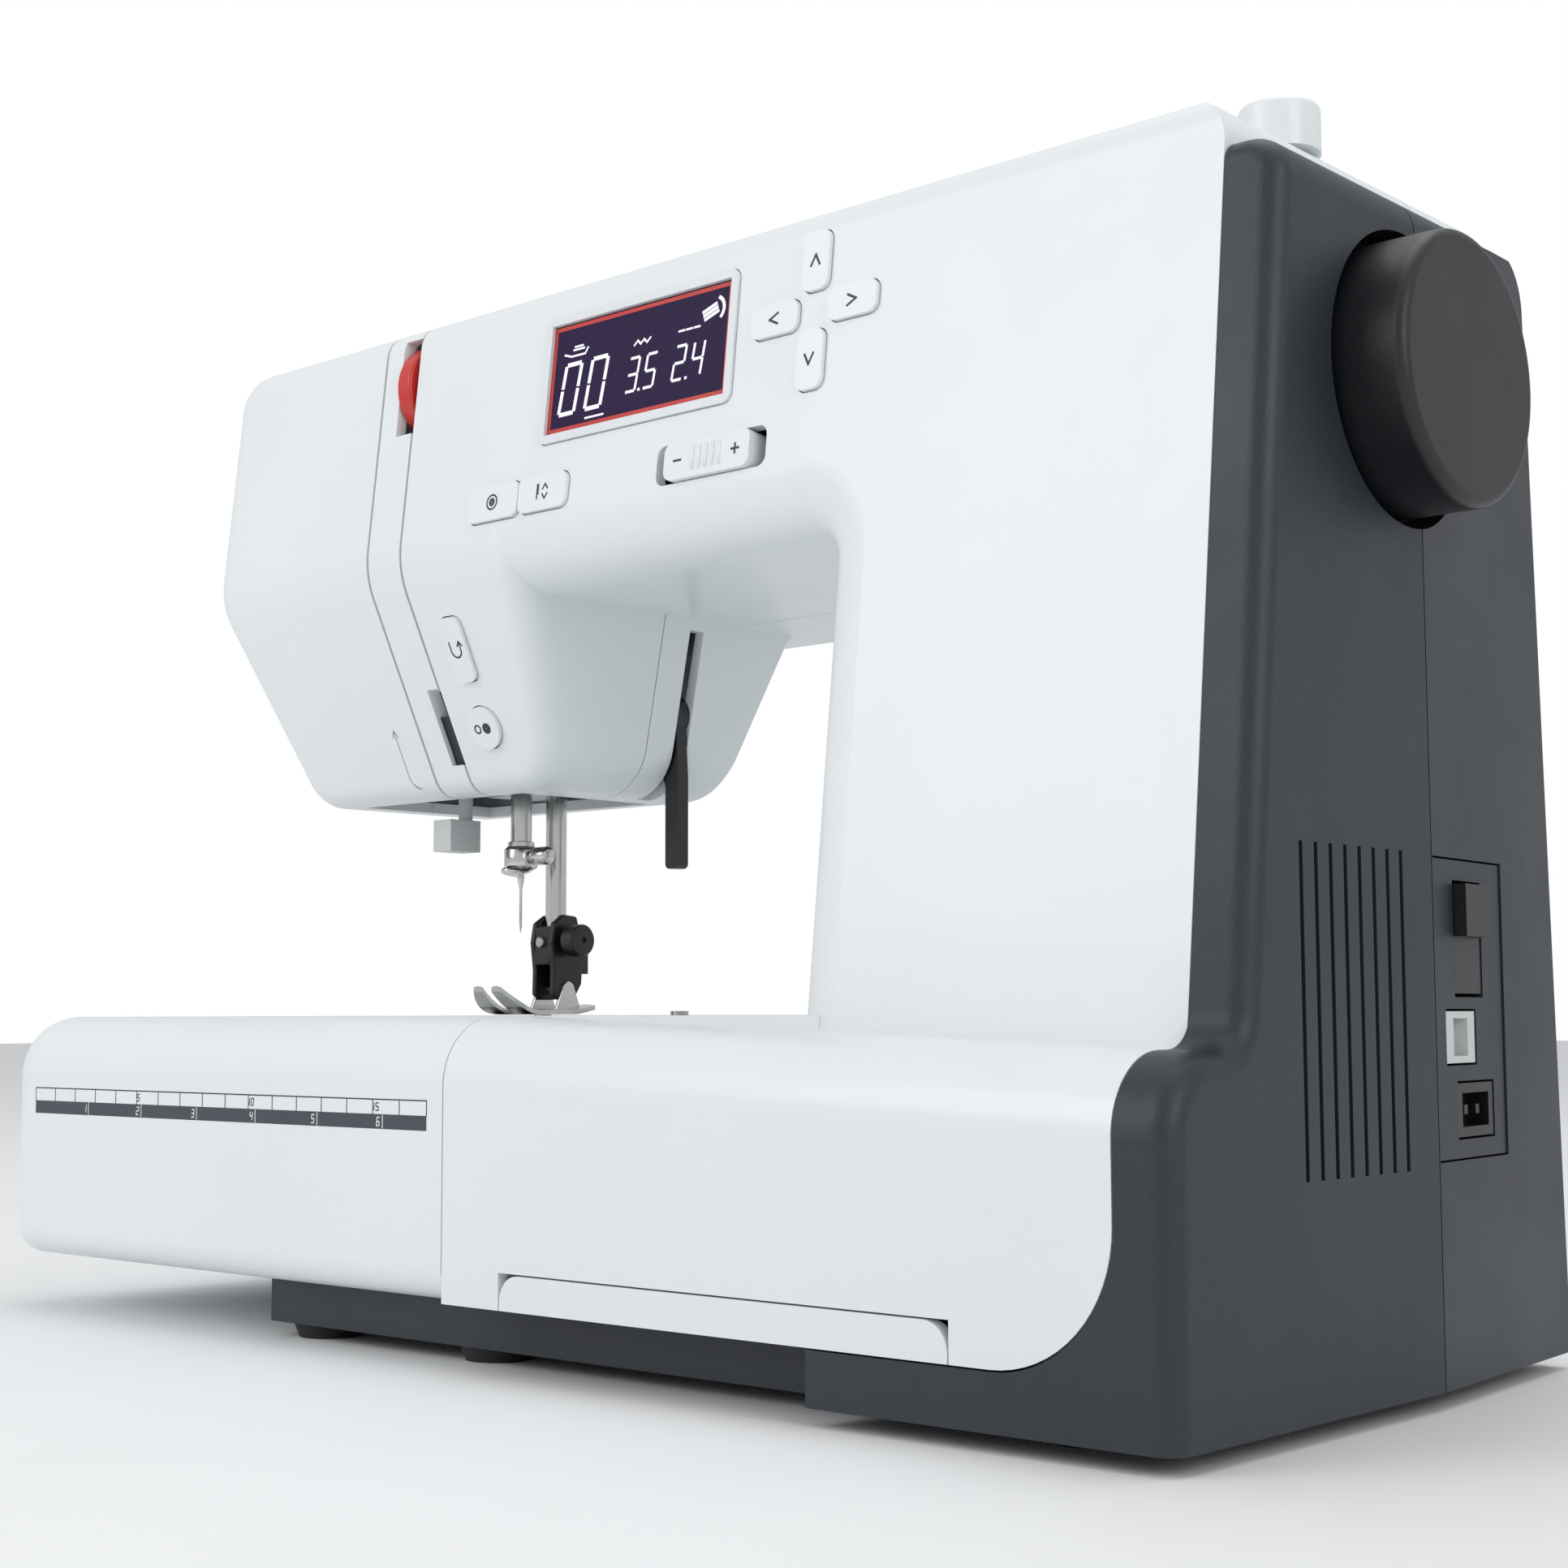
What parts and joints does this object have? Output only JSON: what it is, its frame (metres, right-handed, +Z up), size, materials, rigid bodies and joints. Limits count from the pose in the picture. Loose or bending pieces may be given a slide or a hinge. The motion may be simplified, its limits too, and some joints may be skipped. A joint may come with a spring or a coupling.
{
  "type": "sewing machine",
  "caption": "Domestic free-arm sewing machine with slide-on table, fold-down handle, front display and keys, handwheel, presser foot, drop-in bobbin and working shafts.",
  "frame": {"origin": "middle of the underside at the feet's resting level, centred on the overall box", "axes": "+Z up, +X towards the handwheel, -Y towards the person sewing"},
  "size_m": [0.412, 0.188, 0.2955],
  "materials": {
    "white_shell": "satin, lightly glossy ABS",
    "dark_shell": "fine textured matte",
    "wheel_grey": "fine textured matte",
    "red_accent": "gloss",
    "bezel_grey": "satin",
    "display": "clear hard-coated window",
    "key_white": "satin",
    "black_plastic": "satin",
    "steel": "ground and brushed",
    "plated": "bright nickel plate",
    "cast_alloy": "as-cast",
    "board_green": "solder-masked board",
    "belt_rubber": "toothed belt",
    "foot_rubber": "matte"
  },
  "bodies": {
    "machine": {"face_cover": "white_shell", "channel_cover": "white_shell", "front_cover": "white_shell", "rear_cover": "white_shell", "lower_front_panel": "white_shell", "side_cover": "dark_shell", "side_rear_cover": "dark_shell", "base": "dark_shell", "feet": "foot_rubber", "free_arm": "white_shell", "needle_plate": "steel", "plate_screws": "steel", "machine_frame": "cast_alloy", "motor": "steel", "circuit_board": "board_green", "lcd_bezel": "bezel_grey", "lcd_screen": "display", "power_plate": "wheel_grey", "foot_control_jack": "black_plastic", "power_inlet": "black_plastic", "winder_stop": "white_shell", "spool_pin": "white_shell", "timing_belt": "belt_rubber", "drive_belt": "belt_rubber", "bobbin_case": "black_plastic"},
    "main_shaft": {"upper_shaft": "steel", "crank": "steel", "handwheel": "wheel_grey"},
    "lower_shaft": {"lower_shaft": "steel"},
    "hook": {"hook": "plated"},
    "motor_pulley": {"motor_pulley": "steel"},
    "bobbin": {"bobbin": "key_white"},
    "needle_bar": {"needle_bar": "plated", "needle_clamp": "plated", "needle": "plated", "needle_bar_driver": "steel"},
    "take_up": {"take_up_lever": "steel"},
    "lifter": {"lifter_lever": "black_plastic"},
    "presser_bar": {"presser_bar": "plated", "foot_holder": "black_plastic"},
    "presser_foot": {"presser_foot": "plated"},
    "foot_release": {"foot_release_lever": "black_plastic"},
    "needle_threader": {"needle_threader": "white_shell"},
    "feed_dogs": {"feed_dogs": "steel"},
    "arrow_up": {"arrow_up_button": "key_white"},
    "arrow_down": {"arrow_down_button": "key_white"},
    "arrow_left": {"arrow_left_button": "key_white"},
    "arrow_right": {"arrow_right_button": "key_white"},
    "thread_cut": {"thread_cut_button": "key_white"},
    "needle_up_down": {"needle_button": "key_white"},
    "reverse": {"reverse_button": "key_white"},
    "start_stop": {"start_stop_button": "key_white"},
    "speed_slider": {"speed_slider": "wheel_grey"},
    "tension_dial": {"tension_dial": "red_accent"},
    "power_switch": {"power_switch": "black_plastic"},
    "handle": {"handle": "white_shell"},
    "winder_spindle": {"winder_spindle": "black_plastic"},
    "spool_cap": {"spool_cap": "white_shell"},
    "slide_on_table": {"slide_on_table": "white_shell"},
    "bobbin_cover": {"bobbin_cover": "bezel_grey"}
  },
  "joints": [
    {"name": "main_shaft_turn", "type": "hinge", "parent": "machine", "child": "main_shaft", "pos_m": [0.195, 0.0018, 0.2157], "axis": [1, 0, 0], "continuous": true},
    {"name": "lower_shaft_turn", "type": "hinge", "parent": "machine", "child": "lower_shaft", "pos_m": [0, 0.0018, 0.047], "axis": [1, 0, 0], "continuous": true},
    {"name": "hook_turn", "type": "hinge", "parent": "machine", "child": "hook", "pos_m": [-0.089, -0.0162, 0.06], "axis": [0, 0, 1], "continuous": true},
    {"name": "motor_pulley_turn", "type": "hinge", "parent": "machine", "child": "motor_pulley", "pos_m": [0.12, -0.042, 0.052], "axis": [1, 0, 0], "continuous": true},
    {"name": "bobbin_turn", "type": "hinge", "parent": "machine", "child": "bobbin", "pos_m": [-0.089, -0.0162, 0.07], "axis": [0, 0, 1], "continuous": true},
    {"name": "needle_bar_slide", "type": "slide", "parent": "machine", "child": "needle_bar", "axis": [0, 0, -1], "range_m": [0, 0.031]},
    {"name": "take_up_swing", "type": "hinge", "parent": "machine", "child": "take_up", "pos_m": [-0.084, -0.014, 0.24], "axis": [1, 0, 0], "range_deg": [0, 60]},
    {"name": "presser_lifter", "type": "hinge", "parent": "machine", "child": "lifter", "pos_m": [-0.046, 0.018, 0.165], "axis": [0, -1, 0], "range_deg": [0, 70]},
    {"name": "presser_bar_slide", "type": "slide", "parent": "machine", "child": "presser_bar", "axis": [0, 0, 1], "range_m": [0, 0.006]},
    {"name": "presser_foot_tilt", "type": "hinge", "parent": "presser_bar", "child": "presser_foot", "pos_m": [-0.089, 0.0154, 0.09], "axis": [1, 0, 0], "range_deg": [-8, 0]},
    {"name": "foot_release_press", "type": "hinge", "parent": "presser_bar", "child": "foot_release", "pos_m": [-0.089, 0.024, 0.0965], "axis": [-1, 0, 0], "range_deg": [0, 10], "stiffness_Nm_per_rad": 0.05},
    {"name": "needle_threader_press", "type": "slide", "parent": "machine", "child": "needle_threader", "axis": [0, 0, -1], "range_m": [0, 0.024], "stiffness_N_per_m": 25, "springref_m": -0.004},
    {"name": "feed_dogs_drop", "type": "slide", "parent": "machine", "child": "feed_dogs", "axis": [0, 0, -1], "range_m": [0, 0.003]},
    {"name": "arrow_up_press", "type": "slide", "parent": "machine", "child": "arrow_up", "axis": [0, 0.9939, -0.1103], "range_m": [0, 0.001], "stiffness_N_per_m": 800, "springref_m": -0.0005},
    {"name": "arrow_down_press", "type": "slide", "parent": "machine", "child": "arrow_down", "axis": [0, 0.9939, -0.1103], "range_m": [0, 0.001], "stiffness_N_per_m": 800, "springref_m": -0.0005},
    {"name": "arrow_left_press", "type": "slide", "parent": "machine", "child": "arrow_left", "axis": [0, 0.9939, -0.1103], "range_m": [0, 0.001], "stiffness_N_per_m": 800, "springref_m": -0.0005},
    {"name": "arrow_right_press", "type": "slide", "parent": "machine", "child": "arrow_right", "axis": [0, 0.9939, -0.1103], "range_m": [0, 0.001], "stiffness_N_per_m": 800, "springref_m": -0.0005},
    {"name": "thread_cut_press", "type": "slide", "parent": "machine", "child": "thread_cut", "axis": [0, 0.9939, -0.1103], "range_m": [0, 0.001], "stiffness_N_per_m": 800, "springref_m": -0.0005},
    {"name": "needle_up_down_press", "type": "slide", "parent": "machine", "child": "needle_up_down", "axis": [0, 0.9939, -0.1103], "range_m": [0, 0.001], "stiffness_N_per_m": 800, "springref_m": -0.0005},
    {"name": "reverse_press", "type": "slide", "parent": "machine", "child": "reverse", "axis": [0, 0.9054, 0.4246], "range_m": [0, 0.001], "stiffness_N_per_m": 800, "springref_m": -0.0005},
    {"name": "start_stop_press", "type": "slide", "parent": "machine", "child": "start_stop", "axis": [0, 0.9054, 0.4246], "range_m": [0, 0.001], "stiffness_N_per_m": 800, "springref_m": -0.0005},
    {"name": "speed_slide", "type": "slide", "parent": "machine", "child": "speed_slider", "axis": [1, 0, 0], "range_m": [-0.0036, 0.0036]},
    {"name": "tension_turn", "type": "hinge", "parent": "machine", "child": "tension_dial", "pos_m": [-0.08, -0.0367, 0.2525], "axis": [1, 0, 0], "range_deg": [-150, 150]},
    {"name": "power_rock", "type": "hinge", "parent": "machine", "child": "power_switch", "pos_m": [0.1885, 0.0269, 0.0975], "axis": [-0.0924, 0.9957, 0], "range_deg": [0, 10]},
    {"name": "handle_lift", "type": "hinge", "parent": "machine", "child": "handle", "pos_m": [0.03, 0.041, 0.2765], "axis": [-1, 0, 0], "range_deg": [0, 95]},
    {"name": "winder_engage", "type": "slide", "parent": "machine", "child": "winder_spindle", "axis": [1, 0, 0], "range_m": [0, 0.004]},
    {"name": "spool_cap_pull", "type": "slide", "parent": "machine", "child": "spool_cap", "axis": [-1, 0, 0], "range_m": [0, 0.03]},
    {"name": "table_pull", "type": "slide", "parent": "machine", "child": "slide_on_table", "axis": [-1, 0, 0], "range_m": [0, 0.15]},
    {"name": "bobbin_cover_slide", "type": "slide", "parent": "machine", "child": "bobbin_cover", "axis": [0, -1, 0], "range_m": [0, 0.028]}
  ],
  "couplings": [
    {"joint": "lower_shaft_turn", "follows": "main_shaft_turn", "ratio": 1},
    {"joint": "hook_turn", "follows": "main_shaft_turn", "ratio": 2},
    {"joint": "motor_pulley_turn", "follows": "main_shaft_turn", "ratio": 2.4444},
    {"joint": "take_up_swing", "follows": "needle_bar_slide", "rad_per_m": 33},
    {"joint": "presser_lifter", "follows": "presser_bar_slide", "rad_per_m": 203.6}
  ]
}
